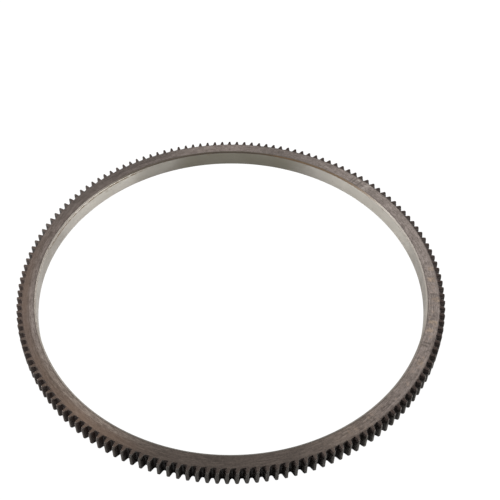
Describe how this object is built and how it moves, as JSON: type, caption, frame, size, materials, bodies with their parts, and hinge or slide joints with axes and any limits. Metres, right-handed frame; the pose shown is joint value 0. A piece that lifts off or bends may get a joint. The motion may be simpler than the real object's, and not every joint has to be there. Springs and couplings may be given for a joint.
{
  "type": "flywheel ring gear",
  "caption": "Steel starter ring gear with external spur teeth, a plain chamfered bore for a shrink fit on a flywheel, and tooth ends bevelled on the pinion side.",
  "frame": {"origin": "on the axis of the ring, in the plane of its bottom face", "axes": "+Z along the bore axis, from the bottom face to the top face, where the tooth ends are bevelled; +X through the middle of a tooth gap"},
  "size_m": [0.4706, 0.4706, 0.0198],
  "materials": {
    "steel": "dull brown-grey scale on the faces and teeth, fine-turned paler bore"
  },
  "bodies": {
    "root": {"ring_gear": "steel"}
  },
  "joints": []
}
